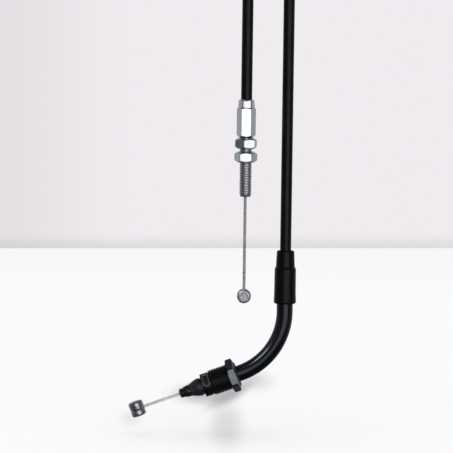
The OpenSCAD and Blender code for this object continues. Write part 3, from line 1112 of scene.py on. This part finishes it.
def build_adjuster_nuts():
    for name, node, body, turn in (
        ("adjuster_upper_nut", "upper_nut", "upper_adjuster_nut", 20),
        ("adjuster_lower_nut", "lower_nut", "lower_adjuster_nut", 0),
    ):
        low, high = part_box(node)
        shape = nut_shape(left_leg, low.z, high.z, NUT_AF, math.radians(turn), M6_R, 0.39, 0.65)
        obj = piece(name, shape, zinc_plate, sharp=HEX_SHARP)
        stand_in(obj, body, node)


def build_carb_wire():
    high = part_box("carb_wire")[1]
    wire = piece("carb_inner_wire", stranded_wire(left_leg, carb_nipple_z, high.z), carb_strand_steel)
    stand_in(wire, "carb_pull_wire", "carb_wire")
    centre = Vector((left_x, 0, carb_nipple_z))
    towards_camera = Axis(centre, Vector((0, -1, 0)), Vector((1, 0, 0)))
    r, half = 3.45 * MM, 3.2 * MM
    side = carb_nipple_z + r
    cone = entry_cone(left_leg, side - CONE_START, side - CONE_END, CONE_WIDE, CONE_NARROW)
    bars = [end_bar(centre, way * half, r) for way in (-1, 1)]
    barrel = barrel_shape(towards_camera, r, half, spread=1.7, dish=0.55, edge=1.1 * MM, hollow=0.2 * MM)
    obj = piece("carb_barrel_nipple", joined(barrel, cone, *bars), dull_cast_zinc, sharp=45)
    stand_in(obj, "carb_pull_wire", "carb_nipple")


# ---- CAD nodes that stay ----
def paint_node(name, material):
    obj = frame["nodes"][name]
    if not obj.material_slots:
        obj.data.materials.append(material)
    for slot in obj.material_slots:
        slot.material = material


def paint_inner_parts():
    for i in range(1, 6):
        paint_node(f"wrap_{i}", wrap_steel)
        paint_node(f"liner_{i}", liner_nylon)
    for i in range(1, 5):
        paint_node(f"core_{i}", strand_steel)
    paint_node("elbow_liner", liner_nylon)
    paint_node("adjuster_liner", liner_nylon)
    paint_node("conduit_cup", cup_steel)


# ---- Stage: pale floor, soft light and the camera ----
CAMERA_DISTANCE = 1.5
CAMERA_ELEVATION = math.radians(5)
CAMERA_ROLL = math.radians(0.77)
SENSOR = 36  # in mm, as Blender's lens is
VIEW_WIDTH = 224.3 * MM
LOOK_AT = Vector((-1.7 * MM, 0, 75.2 * MM))
HORIZON = 0.548  # where the floor ends, as a share of the picture's height from the top
WALL_FADE = 0.035  # the height of the band of painted shade above the floor, as a share of the picture
FLOOR_WIDTH = 18
FLOOR_FRONT = LOOK_AT.y - 6
# Low enough for the throttle nipple when its wire is pulled right out
FLOOR_Z = cad_low.z + throttle_dir.z * joints["throttle_pull"]["range_m"][1] - 0.3 * MM
FRONT_ROOM, BACK_ROOM = 0.07, 0.42  # how bright the room is in reflections
SOFT_LIGHT = 0.92


def camera_frame():
    """The camera's right, up and backward directions."""
    e = CAMERA_ELEVATION
    back = Vector((0, -math.cos(e), math.sin(e)))
    right = Vector((math.cos(CAMERA_ROLL), 0, math.sin(CAMERA_ROLL)))
    right = (right - back * right.dot(back)).normalized()
    return right, back.cross(right), back


def floor_point(across, down):
    """The floor point behind a place in the picture, given as shares of its width and height."""
    right, up, back = camera_frame()
    eye = LOOK_AT + back * CAMERA_DISTANCE
    place = LOOK_AT + right * (across - 0.5) * VIEW_WIDTH + up * (0.5 - down) * VIEW_WIDTH
    ray = place - eye
    return eye + ray * ((FLOOR_Z - eye.z) / ray.z)


def pool(paint, centre, across, deep, turn):
    """1 in the middle of a soft oval on the floor, 0 outside it. turn is in degrees."""
    inputs = {"Vector": paint.place, "Location": centre, "Rotation": (0, 0, math.radians(turn))}
    inputs["Scale"] = (across, deep, 1)
    place = paint.node("ShaderNodeMapping", inputs, vector_type="TEXTURE").outputs["Vector"]
    oval = paint.node("ShaderNodeTexGradient", {"Vector": place}, gradient_type="SPHERICAL")
    return paint.spread(oval.outputs["Fac"], 0, 1, 0, 1, curve="SMOOTHERSTEP")


def floor_material():
    """Pale paper, paler far away, with soft pools of shade under the two ends of the elbow."""
    paint = Paint("floor_paper", specular=0.1)
    near = paint.mottled(paint.noise(0.4, 2), (0.9, 0.895, 0.91), (0.915, 0.91, 0.925))
    away = paint.spread(paint.split(paint.place)["Y"], 0, 1, -0.1, 0.6)
    shade = paint.blend(away, near, (0.985, 0.975, 0.99))
    for place, across, deep, turn, depth in (
        (floor_point(0.455, 0.868), 28 * MM, 70 * MM, 0, 0.75),
        (floor_point(0.5, 0.935), 14 * MM, 130 * MM, 0, 0.36),
        (floor_point(0.56, 0.84), 18 * MM, 70 * MM, 0, 0.35),
        (floor_point(0.512, 0.868), 11 * MM, 95 * MM, -10.7, 0.75),
        (floor_point(0.29, 0.922), 9 * MM, 45 * MM, 0, 0.22),
    ):
        share = paint.maths("MULTIPLY", pool(paint, place, across, deep, turn), depth)
        shade = paint.blend(share, shade, (0.35, 0.36, 0.37))
    paint.colour(shade)
    paint.roughness(0.9)
    return paint.material


def build_floor():
    """A floor whose far edge is level in the picture."""
    corners = [floor_point(-3, HORIZON), floor_point(4, HORIZON)]
    corners += [Vector((side * FLOOR_WIDTH / 2, FLOOR_FRONT, FLOOR_Z)) for side in (1, -1)]
    floor = piece("floor", (corners, [(0, 1, 2, 3)]), floor_material())
    floor.visible_glossy = False


def wall_colour(nodes):
    """Pale wall with a band of painted shade towards the floor, and a little darker at the left."""
    place = nodes.split(nodes.node("ShaderNodeTexCoord").outputs["Window"])
    foot = 1 - HORIZON
    up = nodes.spread(place["Y"], 0, 1, foot, foot + WALL_FADE, curve="SMOOTHSTEP")
    right = nodes.spread(place["X"], 0, 1, 0, 0.3, curve="SMOOTHSTEP")
    wall = nodes.blend(up, (0.74, 0.72, 0.75), (0.865, 0.835, 0.87))
    side = nodes.blend(right, (0.9, 0.9, 0.9), (1.0, 1.0, 1.0))
    return nodes.blend(1.0, wall, side, mode="MULTIPLY")


def room_light(nodes):
    """The room's strength in reflections: dim in front, brighter behind, dim overhead and below."""
    way = nodes.split(nodes.node("ShaderNodeTexCoord").outputs["Generated"])
    behind = nodes.spread(way["Y"], FRONT_ROOM, BACK_ROOM, -0.25, 0.45, curve="SMOOTHSTEP")
    steep = nodes.maths("ABSOLUTE", way["Z"])
    level = nodes.spread(steep, 1.0, 0.2, 0.25, 0.9, curve="SMOOTHSTEP")
    return nodes.maths("MULTIPLY", behind, level)


def background(nodes, colour, strength):
    inputs = {"Color": colour, "Strength": strength}
    return nodes.node("ShaderNodeBackground", inputs).outputs["Background"]


def either(nodes, condition, no, yes):
    """One of two shaders."""
    return nodes.node("ShaderNodeMixShader", enumerate((condition, no, yes))).outputs["Shader"]


def build_world():
    """Pale wall for the camera, a dim room in reflections and even light on matt surfaces."""
    world = bpy.data.worlds.new("studio")
    bpy.context.scene.world = world
    world.use_nodes = True
    nodes = Nodes(world.node_tree)
    nodes.tree.nodes.clear()
    ray = nodes.node("ShaderNodeLightPath").outputs
    wall = background(nodes, wall_colour(nodes), 1.0)
    room = background(nodes, (0.92, 0.95, 1.0), room_light(nodes))
    soft = background(nodes, (1, 1, 1), SOFT_LIGHT)
    lit = either(nodes, ray["Is Glossy Ray"], soft, room)
    seen = either(nodes, ray["Is Camera Ray"], lit, wall)
    nodes.node("ShaderNodeOutputWorld", {"Surface": seen})


def area_light(name, azimuth, elevation, distance, size, power):
    """A panel aimed at the picture's middle; azimuth 0 is the camera's side and grows to the right."""
    data = bpy.data.lights.new(name, "AREA")
    data.shape = "RECTANGLE"
    data.size, data.size_y = size
    data.energy = power
    light = bpy.data.objects.new(name, data)
    a, e = math.radians(azimuth), math.radians(elevation)
    back = Vector((math.sin(a) * math.cos(e), -math.cos(a) * math.cos(e), math.sin(e)))
    light.location = LOOK_AT + back * distance
    light.rotation_mode = "QUATERNION"
    light.rotation_quaternion = (-back).to_track_quat("-Z", "Y")
    bpy.context.scene.collection.objects.link(light)
    light.visible_camera = False
    return light


def light_only(light, name):
    """Lets a light fall on one piece and no other."""
    chosen = bpy.data.collections.new(f"lit_by_{light.name}")
    chosen.objects.link(bpy.data.objects[name])
    light.light_linking.receiver_collection = chosen


def build_lights():
    """A broad panel at the front right, one above, and two small ones that each light one piece."""
    area_light("key_panel", 17, 4, 1.2, (1.3, 1.0), 6.5)
    streak = area_light("streak_panel", -58, 33, 1.0, (0.3, 0.34), 4.4)
    streak.data.color = (0.78, 0.88, 1.0)
    light_only(streak, "bent_pipe")
    spark = area_light("spark_panel", -38, 42, 1.0, (0.35, 0.35), 5.0)
    light_only(spark, "carb_barrel_nipple")
    above = area_light("top_panel", -15, 65, 1.3, (1.6, 1.6), 3)
    above.visible_glossy = False
    above.data.use_shadow = False


def build_camera():
    data = bpy.data.cameras.new("camera")
    data.sensor_width = SENSOR
    data.lens = SENSOR * CAMERA_DISTANCE / VIEW_WIDTH
    data.clip_start, data.clip_end = 0.05, 20
    camera = bpy.data.objects.new("camera", data)
    right, up, back = camera_frame()
    turn = Matrix((right, up, back)).transposed().to_4x4()
    camera.matrix_world = Matrix.Translation(LOOK_AT + back * CAMERA_DISTANCE) @ turn
    bpy.context.scene.collection.objects.link(camera)
    bpy.context.scene.camera = camera


build_conduit()
build_pipe()
build_joint_sleeve()
build_union()
build_guide()
build_seal()
build_lock_nut()
build_throttle_wire()
build_adjuster()
build_adjuster_nuts()
build_carb_wire()
paint_inner_parts()
build_floor()
build_world()
build_lights()
build_camera()
bpy.context.scene.view_settings.view_transform = "Standard"
